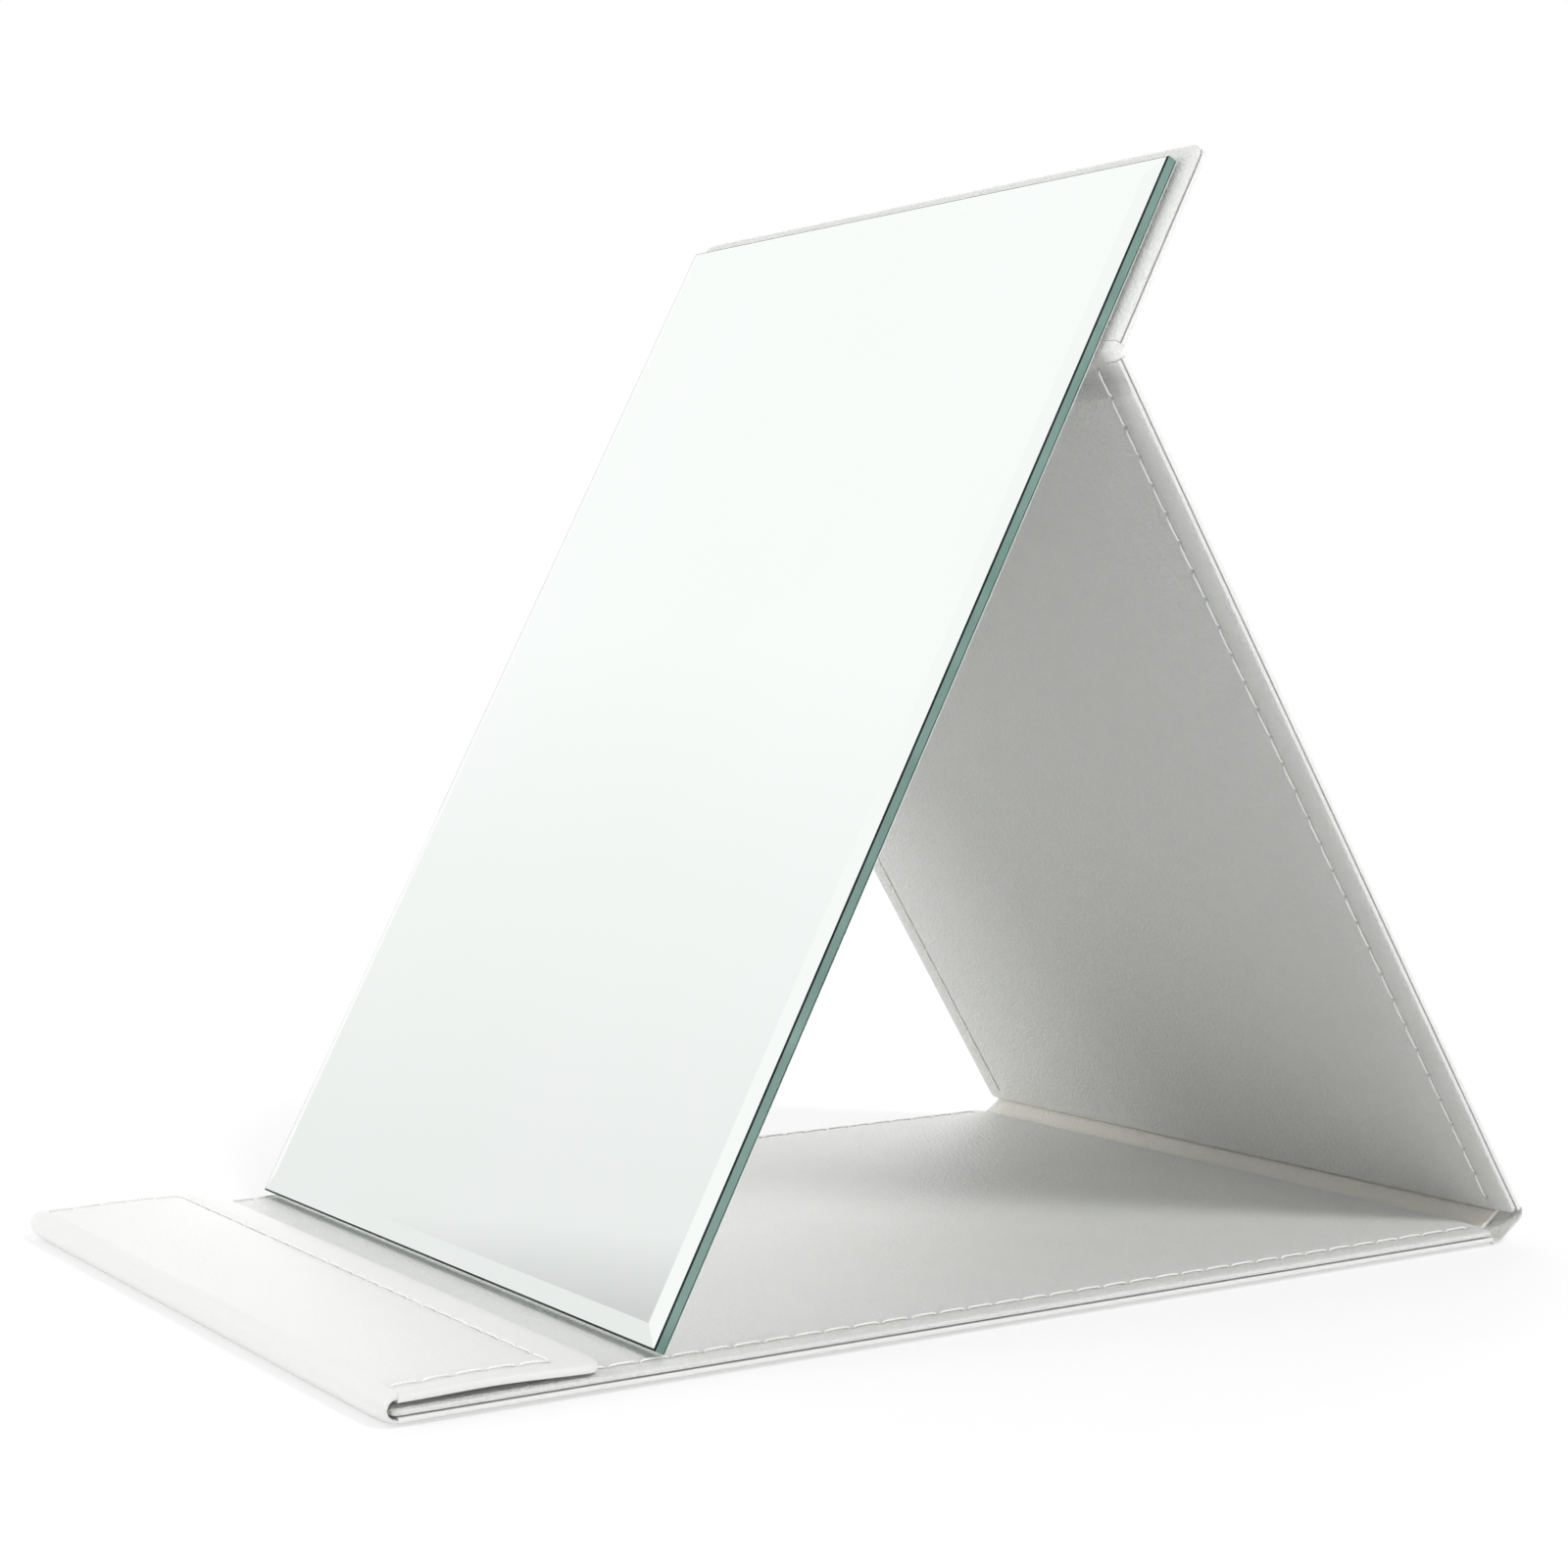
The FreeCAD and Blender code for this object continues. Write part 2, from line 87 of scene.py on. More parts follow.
def block(low, high):
    """A square block between two corners."""
    bm = bmesh.new()
    bmesh.ops.create_cube(bm, size=1)
    bmesh.ops.scale(bm, vec=high - low, verts=bm.verts)
    bmesh.ops.translate(bm, vec=(low + high) / 2, verts=bm.verts)
    return bm


def round_over(bm, edges, radius, segments):
    """Rounds edges with a bevel."""
    bmesh.ops.bevel(bm, geom=edges, offset=radius, offset_type="OFFSET", segments=segments, profile=0.5,
                    affect="EDGES", material=-1)


def cut_across(bm, axis, places):
    """Cuts a mesh by planes square to an axis, so that it can bend there."""
    normal = Vector((0, 0, 0))
    normal[axis] = 1
    for place in places:
        whole = bm.verts[:] + bm.edges[:] + bm.faces[:]
        bmesh.ops.bisect_plane(bm, geom=whole, dist=same_length, plane_co=normal * place, plane_no=normal)


def finish_piece(name, bm, lie=Matrix.Identity(4), sharp=40):
    """Turns a bmesh into a piece in its place, smooth but for edges sharper than an angle in degrees."""
    bmesh.ops.transform(bm, matrix=lie, verts=bm.verts)
    bmesh.ops.recalc_face_normals(bm, faces=bm.faces)
    mesh = bpy.data.meshes.new(name)
    bm.to_mesh(mesh)
    bm.free()
    mesh.shade_smooth()
    mesh.set_sharp_from_angle(angle=math.radians(sharp))
    piece = bpy.data.objects.new(name, mesh)
    bpy.context.scene.collection.objects.link(piece)
    return piece


stitch_pitch = 5.8 * mm
furrow_depth, furrow_width = 0.2 * mm, 1.3 * mm
furrow_end = 3 * furrow_width
furrow_cuts = [step * mm for step in (-2.4, -1.2, -0.5, 0, 0.5, 1.2, 2.4)]
hole_depth, hole_width = 0.45 * mm, 0.42 * mm


def sewn_dip(place, rows):
    """How deep the thread pulls the leather in, at a place across and along a panel."""
    depth = 0
    for start, end in rows:
        run = end - start
        along = min(max((place - start).dot(run) / run.length, 0), run.length)
        off = (place - start - run.normalized() * along).length
        if off < furrow_end:
            pitch = run.length / round(run.length / stitch_pitch)
            from_hole = abs(along - pitch * round(along / pitch))
            depth = max(depth, furrow_depth * math.exp(-(off / furrow_width) ** 2))
            depth += hole_depth * math.exp(-(off / hole_width) ** 2 - (from_hole / hole_width) ** 2)
    return depth


def sewn_cuts(rows):
    """Where a sheet is cut across and along, so that its furrows and needle holes can be shaped."""
    cuts = [[], []]
    for start, end in rows:
        axis = 0 if abs(end.x - start.x) > abs(end.y - start.y) else 1
        low, high = sorted((start[axis], end[axis]))
        pitch = (high - low) / round((high - low) / stitch_pitch)
        for index in range(round((high - low) / pitch) + 1):
            cuts[axis] += [low + index * pitch + step for step in (-hole_width, 0, hole_width, pitch / 2)]
        cuts[1 - axis] += [start[1 - axis] + step for step in furrow_cuts]
    return cuts


least_apart = 0.2 * mm


def apart(places, low, high, least=least_apart):
    """Places in order, inside a range and no nearer to each other than a least distance."""
    kept = []
    for place in sorted(places):
        if low + least < place < high - least and (not kept or place - kept[-1] > least):
            kept.append(place)
    return kept


skin_round, seam_round = 0.9 * mm, 0.33 * mm
skin_round_share = 0.7  # of a sheet's thickness, at most
corner_segments, skin_segments, seam_segments = 5, 4, 2
slope_width, slope_depth = 8 * mm, 0.55 * mm
slope_shares = (0.2, 0.4, 0.6, 0.8, 1)
face_shares = (-0.8, -0.6, -0.4, -0.2, 0, 0.2, 0.4, 0.6, 0.8)
face_step, fewest_steps = 8 * mm, 4
board_room = 0.2 * mm
face_wander, face_waves = 0.05 * mm, (40 * mm, 25 * mm)
side_wander, side_wave, side_band = 0.08 * mm, 12 * mm, 3 * mm
side_shift = 5  # sets the two sides' wander apart


def side_slope(from_side):
    """How far a padded panel's face falls off, at a distance from its side."""
    return slope_depth * max(0, 1 - from_side / slope_width) ** 2


def slope_cuts(half):
    """Where a sheet of some half width is cut across, so that its sides can slope."""
    return [side * (half - slope_width * share) for side in (-1, 1) for share in slope_shares]


def rounded_block(low, high, face, seam, ends):
    """A block with rounded rims round its face and its seam, and rounded corners at some of its ends."""
    bm = block(low, high)
    for end, corner in ends.items():
        place = low.y if end == "low" else high.y
        uprights = [
            e for e in bm.edges
            if all(near(v.co.y, place) for v in e.verts) and near(e.verts[0].co.x, e.verts[1].co.x)
        ]
        round_over(bm, uprights, corner, corner_segments)
    square_ends = [place for end, place in (("low", low.y), ("high", high.y)) if end not in ends]
    face_round = min(skin_round, skin_round_share * (high.z - low.z))
    for level, radius, segments in ((face, face_round, skin_segments), (seam, seam_round, seam_segments)):
        rim = [
            e for e in bm.edges
            if all(near(v.co.z, level) for v in e.verts)
            and not any(all(near(v.co.y, place) for v in e.verts) for place in square_ends)
        ]
        round_over(bm, rim, radius, segments)
    return bm


def sink_pocket(bm, low, high, seam, bottom):
    """Sinks a pocket for a board into a sheet's seam side, between two corners and down to a bottom."""
    pocket = []
    for f in bm.faces:
        middle = f.calc_center_median()
        inside = low.x < middle.x < high.x and low.y < middle.y < high.y
        if inside and near(middle.z, seam):
            pocket.append(f)
    sunk = bmesh.ops.extrude_face_region(bm, geom=pocket)["geom"]
    for v in [item for item in sunk if isinstance(item, bmesh.types.BMVert)]:
        v.co.z = bottom
    bmesh.ops.delete(bm, geom=pocket, context="FACES")


def pad(bm, half_width, face, seam, showing, rows):
    """Shapes a sheet's face: sloping sides, furrows, needle holes, a little wander and creases darkened
    by soiling and by painted shade.
    """
    crease = bm.verts.layers.float.new("crease")
    for v in bm.verts:
        lift = min(max(2 * (v.co.z - seam) / (face - seam) - 1, 0), 1)
        dip = sewn_dip(v.co.xy, rows)
        # The crease mark is partly soiling and partly painted shade, in the furrows, needle holes and the
        # seam side.
        v[crease] = min(max(dip - furrow_depth, 0) / hole_depth, 1) * lift + near(v.co.z, seam)
        face_place = Vector((v.co.x / face_waves[0], v.co.y / face_waves[1], showing))
        wander = face_wander * noise.noise(face_place)
        v.co.z += showing * lift * (wander - dip - side_slope(half_width - abs(v.co.x)))
        if abs(v.co.x) > half_width - side_band:
            side_place = Vector((v.co.y / side_wave, showing, math.copysign(side_shift, v.co.x)))
            v.co.x += side_wander * noise.noise(side_place)


def turned_sheet(name, lie, low, high, showing, board, ends, rows=(), bow=None):
    """One leather sheet of a panel, whose turned edges stand round half of the board.

    low and high are its corners in the panel's frame, and board has the corners of what it stands round.
    showing is 1 where the face that shows is the high one, and -1 where it is the low one. ends gives the
    corner radius of each end that is rounded over, "low" or "high". rows are its rows of thread, and bow
    says how far it is moved at a place along it.
    """
    face, seam = (high.z, low.z) if showing > 0 else (low.z, high.z)
    thickness = high.z - low.z
    bm = rounded_block(low, high, face, seam, ends)
    across, along = sewn_cuts(rows)
    room = Vector((board_room, board_room, 0))
    pocket_low, pocket_high = board[0] - room, board[1] + room
    pocket_sides = [pocket_low.x, pocket_high.x]
    pocket_ends = [pocket_low.y, pocket_high.y]
    across = [x for x in across if all(abs(x - side) > least_apart for side in pocket_sides)]
    along = [y for y in along if all(abs(y - end) > least_apart for end in pocket_ends)]
    across += pocket_sides + [high.x * share for share in face_shares]
    across += slope_cuts(high.x)
    steps = max(fewest_steps, round((high.y - low.y) / face_step))
    along += pocket_ends + [low.y + (high.y - low.y) * step / steps for step in range(1, steps)]
    cut_across(bm, 0, apart(across, low.x + thickness, high.x - thickness))
    margins = [thickness if end in ends else 0 for end in ("low", "high")]
    cut_across(bm, 1, apart(along, low.y + margins[0], high.y - margins[1]))
    sink_pocket(bm, pocket_low, pocket_high, seam, board[1].z if showing > 0 else board[0].z)
    pad(bm, high.x, face, seam, showing, rows)
    if bow:
        for v in bm.verts:
            v.co.z += bow(v.co.y)
    return finish_piece(name, bm, lie)


def add(tree, kind, values=None, **settings):
    """A new node with its settings and the values of its sockets."""
    node = tree.nodes.new(kind)
    for setting, choice in settings.items():
        setattr(node, setting, choice)
    for socket, number in (values or {}).items():
        node.inputs[socket].default_value = number
    return node


def surface(name):
    """A new material, its node tree, its surface shader and the place on the piece."""
    material = bpy.data.materials.new(name)
    material.use_nodes = True
    tree = material.node_tree
    place = add(tree, "ShaderNodeTexCoord").outputs["Object"]
    return material, tree, tree.nodes["Principled BSDF"], place


def pattern(tree, place, kind, values, **settings):
    """A new node that looks up its pattern at a place."""
    node = add(tree, kind, values, **settings)
    tree.links.new(place, node.inputs["Vector"])
    return node


def emboss(tree, skin, height, strength, distance, invert=False):
    """Gives a surface a fine relief from a height."""
    bump = add(tree, "ShaderNodeBump", {"Strength": strength, "Distance": distance}, invert=invert)
    tree.links.new(height, bump.inputs["Height"])
    tree.links.new(bump.outputs["Normal"], skin.inputs["Normal"])


def spotted(tree, place, scale, tones, detail=3, spread=(0.35, 0.65)):
    """Soft noise at a scale, as a colour between tones."""
    clouds = pattern(tree, place, "ShaderNodeTexNoise", {"Scale": scale, "Detail": detail})
    ramp = add(tree, "ShaderNodeValToRGB")
    for stop, where, tone in zip(ramp.color_ramp.elements, spread, tones):
        stop.position = where
        stop.color = (*tone, 1)
    tree.links.new(clouds.outputs["Fac"], ramp.inputs["Fac"])
    return ramp.outputs["Color"]


def mixed(tree, share, first, second):
    """Two colours mixed by a share."""
    mix = add(tree, "ShaderNodeMix", data_type="RGBA")
    for socket, source in ((0, share), (6, first), (7, second)):
        if isinstance(source, bpy.types.NodeSocket):
            tree.links.new(source, mix.inputs[socket])
        else:
            mix.inputs[socket].default_value = source
    return mix.outputs[2]


def between(tree, source, low, high, start=0, end=1):
    """A number between start and end, moved into the range from low to high."""
    values = {"From Min": start, "From Max": end, "To Min": low, "To Max": high}
    span = add(tree, "ShaderNodeMapRange", values)
    tree.links.new(source, span.inputs["Value"])
    return span.outputs["Result"]


pebble_height, pebble_shade = 0.3 * mm, 0.35
pore_fineness, pore_share = 2.1, 0.55
worn_share, worn_scale = 0.25, 160
# How dark, and how far, the crease mark makes the leather: partly soiling, partly painted shade in
# furrows, needle holes, seams and the hinge band.
grime_and_shade_tone, grime_and_shade_share = 0.62, 0.55


def leather(name, pale, deep, grain, relief):
    """Coated fabric with a fine pebble grain, darkened a little where it is sewn or meets a seam: partly
    soiling, partly painted shade.

    pale and deep are its tones on and between the pebbles, grain is how fine they are, relief how high.
    """
    material, tree, skin, place = surface(name)
    pebble_values = {"Scale": grain, "Smoothness": 0.6}
    pebbles = pattern(tree, place, "ShaderNodeTexVoronoi", pebble_values, feature="SMOOTH_F1")
    pore_values = {"Scale": pore_fineness * grain, "Detail": 4, "Roughness": 0.6}
    pores = pattern(tree, place, "ShaderNodeTexNoise", pore_values)
    height = add(tree, "ShaderNodeMath", {1: pore_share}, operation="MULTIPLY_ADD")
    tree.links.new(pores.outputs["Fac"], height.inputs[0])
    tree.links.new(pebbles.outputs["Distance"], height.inputs[2])
    emboss(tree, skin, height.outputs[0], relief, pebble_height, invert=True)
    worn = Vector(pale).lerp(Vector(deep), worn_share)
    mottled = spotted(tree, place, worn_scale, (worn, pale), 5, (0.2, 0.7))
    pebble_edge = between(tree, pebbles.outputs["Distance"], 0, pebble_shade)
    grained = mixed(tree, pebble_edge, mottled, (*deep, 1))
    soiled_and_shaded = add(tree, "ShaderNodeAttribute", attribute_name="crease")
    grime_and_shade_colour = (*(grime_and_shade_tone * tone for tone in deep), 1)
    colour = mixed(tree, between(tree, soiled_and_shaded.outputs["Fac"], 0, grime_and_shade_share), grained, grime_and_shade_colour)
    tree.links.new(colour, skin.inputs["Base Color"])
    tree.links.new(between(tree, pores.outputs["Fac"], 0.4, 0.62), skin.inputs["Roughness"])
    skin.inputs["Specular IOR Level"].default_value = 0.4
    return material


cover_leather = leather("cover_leather", (0.82, 0.82, 0.805), (0.78, 0.78, 0.765), 1300, 0.16)


def clad(piece, material):
    """Finishes a sheet of leather: gives it its material, in a slot of its own."""
    piece.data.materials.append(material)


seam_gap = 0.1 * mm
base_lie = panel_lie("base_board", (0, 1, 0))
base_board = reach("base_board", base_lie)
base_low, base_high = reach("base_lining", base_lie)
base_seam = base_low.z
base_outer = reach("base_cover", base_lie)[0].z
cover_width = base_high.x - base_low.x
base_cover = turned_sheet(
    "base_cover_leather",
    base_lie,
    Vector((base_low.x, base_low.y, base_outer)),
    Vector((base_high.x, base_high.y, base_seam - seam_gap)),
    -1,
    base_board,
    {},
)
clad(base_cover, cover_leather)
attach(base_cover, "base")
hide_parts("base_cover")

# Base lining
# The same coated fabric on the inside of the base, a little thinner in its coat and finer in its grain.
# All four of its edges are turned under, and one row of thread along each side pulls it down in a furrow.
lining_leather = leather("lining_leather", (0.775, 0.78, 0.76), (0.69, 0.695, 0.675), 1500, 0.7)
row_inset = 4.0 * mm
row_side = base_high.x - row_inset


def side_rows(low, high, side):
    """The two rows of thread along a panel's sides."""
    return [(Vector((x, low)), Vector((x, high))) for x in (-side, side)]


row_end = 3 * mm
base_rows = side_rows(base_low.y + row_end, base_high.y - row_end, row_side)
lining_corner = 1.2 * mm
loop_reach = 0.9 * mm
base_lining = turned_sheet(
    "base_lining_leather",
    base_lie,
    Vector((base_low.x, base_low.y - loop_reach, base_seam + seam_gap)),
    base_high,
    1,
    base_board,
    {"low": lining_corner, "high": lining_corner},
    base_rows,
)
clad(base_lining, lining_leather)
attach(base_lining, "base")
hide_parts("base_lining")

# Base thread
# Off-white polyester thread in a lockstitch along each side of the base.
# Each stitch lies in the furrow and dives into a needle hole at both ends.
thread_width = 0.4 * mm
thread_height, thread_round = 0.8 * thread_width, 0.28 * thread_width
thread_sink = 0.03 * mm
thread_slant = math.radians(1.5)
stitch_gap = 0.75 * mm
stitch_cuts = (-0.46, -0.38, 0, 0.38, 0.46)
stitch_dive, stitch_pinch, dive_power = 0.35 * mm, 0.45, 8


def thread_finish():
    """Twisted thread: two plies that show as slanting stripes, with a little fuzz."""
    material, tree, skin, place = surface("thread")
    ply_values = {"Scale": 900, "Distortion": 1.5}
    plies = pattern(tree, place, "ShaderNodeTexWave", ply_values, bands_direction="DIAGONAL")
    emboss(tree, skin, plies.outputs["Fac"], 0.5, 0.08 * mm)
    light, dark = (0.96, 0.96, 0.95, 1), (0.88, 0.88, 0.865, 1)
    tree.links.new(mixed(tree, plies.outputs["Fac"], dark, light), skin.inputs["Base Color"])
    skin.inputs["Roughness"].default_value = 0.4
    skin.inputs["Sheen Weight"].default_value = 0.3
    return material


thread = thread_finish()


def one_stitch(length):
    """A single stitch along X, arched over the furrow, with its ends drawn down."""
    half = Vector((length, thread_width, thread_height)) / 2
    bm = block(-half, half)
    round_over(bm, [e for e in bm.edges if near(e.calc_length(), length)], thread_round, 1)
    cut_across(bm, 0, [length * share for share in stitch_cuts])
    for v in bm.verts:
        drawn = (2 * abs(v.co.x) / length) ** dive_power
        v.co.y *= 1 - stitch_pinch * drawn
        v.co.z -= stitch_dive * drawn
    mesh = bpy.data.meshes.new("stitch")
    bm.to_mesh(mesh)
    bm.free()
    return mesh


def sew(name, lie, faces, body, node):
    """Thread along rows on a panel's faces. faces lists each face's depth, its side and its rows."""
    bm = bmesh.new()
    for depth, showing, rows in faces:
        for start, end in rows:
            run = end - start
            count = round(run.length / stitch_pitch)
            pitch = run.length / count
            template = one_stitch(pitch - stitch_gap)
            ahead = Vector((*run.normalized(), 0))
            up = Vector((0, 0, showing))
            turn = Matrix((ahead, up.cross(ahead), up)).transposed().to_4x4()
            turn = turn @ Matrix.Rotation(thread_slant, 4, "Z")
            for index in range(count):
                middle = start + run * ((index + 0.5) / count)
                known = len(bm.verts)
                bm.from_mesh(template)
                turn.translation = (*middle, depth - showing * thread_sink)
                bmesh.ops.transform(bm, matrix=turn, verts=bm.verts[known:])
            bpy.data.meshes.remove(template)
    piece = finish_piece(name, bm, lie)
    piece.data.materials.append(thread)
    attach(piece, body)
    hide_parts(node)
    return piece


sew("base_thread", base_lie, [(base_high.z, 1, base_rows)], "base", "base_stitching")

# Front fold
# The cover runs on from under the base, round its front edge and back over it as the flap's top.
# It is bare leather there, skin and lining glued together, and bends in an open loop.
front_edge = base_lie.translation.y + base_low.y
flap_lie = panel_lie("flap_board", (0, -1, 0))
flap_low, flap_high = reach("flap_cover", flap_lie)
flap_inner = reach("flap_lining", flap_lie)[1].z
flap_top = flap_lie.translation.z - flap_low.z
base_bottom = base_lie.translation.z + base_outer
loop_radius = (flap_top - base_bottom) / 2
loop_centre = Vector((front_edge, base_bottom + loop_radius))
loop_leather = 1.6 * mm
flap_thickness = flap_top - flap_lie.translation.z + flap_inner


def arc(centre, radius, first, last, steps=8):
    """Points on an arc in Y and Z, between two angles in degrees."""
    angles = [math.radians(first + (last - first) * step / steps) for step in range(steps + 1)]
    return [centre + radius * Vector((math.cos(angle), math.sin(angle))) for angle in angles]


def nearest(outline, place):
    """The point on an open outline that is nearest to a place."""
    found = []
    for start, end in zip(outline, outline[1:]):
        run = end - start
        found.append(start + run * min(max((place - start).dot(run) / run.length_squared, 0), 1))
    return min(found, key=lambda point: (point - place).length)


strip_shares = np.linspace(-0.9, 0.9, 37)
strip_cut_gap = 1 * mm
strip_wander, strip_waves = 0.04 * mm, Vector((18, 5, 5)) * mm
strip_seed = 1
noise.seed_set(strip_seed)
most_drawn_in = 0.6  # of half the strip's thickness


def fold_strip(name, outside, inside, start_body, end_body, nodes, width=None):
    """A strip of leather across the cover, shaped round a fold.

    outside and inside are the two sides of its section in Y and Z, both from its start to its end. Its
    faces are cover leather where they are nearer to the outside, and lining leather elsewhere.
    """
    bm = bmesh.new()
    half = (width or cover_width) / 2
    section = bm.faces.new([bm.verts.new((-half, *point)) for point in outside + inside[::-1]])
    grown = bmesh.ops.extrude_face_region(bm, geom=[section], use_keep_orig=True)["geom"]
    moved = [item for item in grown if isinstance(item, bmesh.types.BMVert)]
    bmesh.ops.translate(bm, vec=(2 * half, 0, 0), verts=moved)
    thinnest = min((nearest(inside, point) - point).length for point in outside)
    sides = ((outside, skin_round, skin_segments), (inside, seam_round, seam_segments))
    for points, radius, segments in sides:
        rims = []
        for e in bm.edges:
            first, last = (v.co for v in e.verts)
            on_side = near(abs(first.x), half) and near(first.x, last.x)
            gaps = [(nearest(points, corner.yz) - corner.yz).length for corner in (first, last)]
            if on_side and max(gaps) < same_length:
                rims.append(e)
        round_over(bm, rims, min(radius, thinnest / 2), segments)
    cuts = slope_cuts(half) + [half * share for share in strip_shares]
    cut_across(bm, 0, apart(cuts, -half, half, strip_cut_gap))
    for f in bm.faces:
        middle = f.calc_center_median().yz
        to_skin = (nearest(outside, middle) - middle).length
        to_lining = (nearest(inside, middle) - middle).length
        f.material_index = to_lining < to_skin
    for v in bm.verts:
        skin, lining = nearest(outside, v.co.yz), nearest(inside, v.co.yz)
        sloped = side_slope(cover_width / 2 - abs(v.co.x))
        drawn_in = min(2 * sloped / (skin - lining).length, most_drawn_in)
        v.co.yz = v.co.yz.lerp((skin + lining) / 2, drawn_in)
        wander = Vector(length / wave for length, wave in zip(v.co, strip_waves))
        v.co += strip_wander * noise.noise_vector(wander) * Vector((0, 1, 1))
    piece = finish_piece(name, bm)
    piece.data.materials.append(cover_leather)
    piece.data.materials.append(lining_leather)
    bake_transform(piece)
    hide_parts(*nodes)
    return piece


for name, first, end_thickness, bodies, node in (
    ("front_fold_lower", 270, loop_leather, ("base", "front_spine"), "front_spine_cover"),
    ("front_fold_upper", 180, flap_thickness, ("front_spine", "flap"), "front_spine_lining"),
):
    outer = arc(loop_centre, loop_radius, first, first - 90)
    depths = np.linspace(loop_leather, end_thickness, len(outer))
    inner = [point.lerp(loop_centre, depth / loop_radius) for point, depth in zip(outer, depths)]
    fold_strip(name, outer, inner, *bodies, [node])

# Flap
# The short end panel, folded back on the base and a little bowed. Its skin is turned round a thin card
# on three sides, and the lining is laid in behind. Thread runs along the sides and inside the free edge.
flap_card = reach("flap_board", flap_lie)
flap_tip = flap_low.y
flap_fold = flap_lie.translation.y - front_edge
flap_rise, flap_droop, bow_share = 0.32 * mm, 0.25 * mm, 1.05
flap_row_inset = 7.5 * mm


def flap_bow(along):
    """The flap arches off the base in the middle and droops to it at its free edge."""
    share = (flap_fold - along) / (flap_fold - flap_tip)
    return flap_droop * share**2 - flap_rise * math.sin(math.pi * min(share * bow_share, 1)) ** 2


flap_row = flap_tip + flap_row_inset
flap_rows = side_rows(flap_row, flap_fold, row_side)
flap_rows.append((Vector((-row_side, flap_row)), Vector((row_side, flap_row))))
flap_corner = 2.5 * mm
lining_inset, lining_fold_inset = 3 * mm, 1 * mm
flap_pocket = (
    Vector((flap_low.x + lining_inset, flap_tip + lining_inset, flap_card[0].z)),
    Vector((flap_high.x - lining_inset, flap_fold - lining_fold_inset, flap_card[1].z)),
)
flap_cover = turned_sheet(
    "flap_cover_leather",
    flap_lie,
    flap_low,
    Vector((flap_high.x, flap_fold, flap_inner)),
    -1,
    flap_pocket,
    {"low": flap_corner},
    flap_rows,
    flap_bow,
)
clad(flap_cover, cover_leather)
flap_lining = turned_sheet(
    "flap_lining_leather",
    flap_lie,
    Vector((flap_pocket[0].x, flap_pocket[0].y, flap_card[0].z + seam_gap)),
    Vector((flap_pocket[1].x, flap_pocket[1].y, flap_inner)),
    1,
    flap_card,
    {"low": flap_corner},
    (),
    flap_bow,
)
clad(flap_lining, lining_leather)
for piece, node in ((flap_cover, "flap_cover"), (flap_lining, "flap_lining")):
    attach(piece, "flap")
    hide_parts(node)
flap_thread = sew("flap_thread", flap_lie, [(flap_low.z, -1, flap_rows)], "flap", "flap_stitching")
into_flap = flap_lie.inverted()
for v in flap_thread.data.vertices:
    v.co -= Vector((0, 0, flap_bow((into_flap @ v.co).y)))

# Rear spine
# The strip between base and leg, again without a board: the skin runs through, and a narrower strip of
# lining, warmer in tone, is glued in. It bends at two folds, one at the base and one at the leg.
folds = {joint["name"]: Vector(joint["pos_m"][1:]) for joint in frame["joints"]}
leg_lie = panel_lie("leg_board", (0, 0, 1))
leg_low, leg_high = reach("leg_cover", leg_lie)
rear_edge = base_lie.translation.y + base_high.y
spine_leather = 1.0 * mm
spine_outside = folds["tilt_fold"].y - base_bottom


def direction(angle):
    """The unit vector in Y and Z at an angle in degrees."""
    return Vector((math.cos(math.radians(angle)), math.sin(math.radians(angle))))


spine_run = folds["leg_fold"] - folds["tilt_fold"]
spine_angle = math.degrees(math.atan2(spine_run.y, spine_run.x))
leg_ahead = (leg_lie.to_3x3() @ Vector((0, 1, 0))).yz
leg_angle = math.degrees(math.atan2(leg_ahead.y, leg_ahead.x))
leg_foot = (leg_lie @ Vector((0, leg_low.y, leg_low.z))).yz
spine_middle = (folds["leg_fold"] + folds["tilt_fold"]) / 2
across_spine = direction(spine_angle + 90)


def bend(fold, first, last, depth, radius):
    """A rounded bend round a fold, at a depth from the outer skin, between two directions in degrees."""
    half_turn = (last - first) / 2
    inward = (radius + depth - spine_outside) / math.cos(math.radians(half_turn))
    return arc(fold + inward * direction(first + half_turn + 90), radius, first - 90, last - 90, 6)


base_start = Vector((rear_edge, base_bottom))
lower_round, upper_round = 3.5 * mm, 2.2 * mm
spine_lining_depth, spine_lining_end, spine_lap = 2.1 * mm, 3.0 * mm, 0.9 * mm
spine_lining_inset = 5 * mm
spine_lining_width = cover_width - 2 * spine_lining_inset
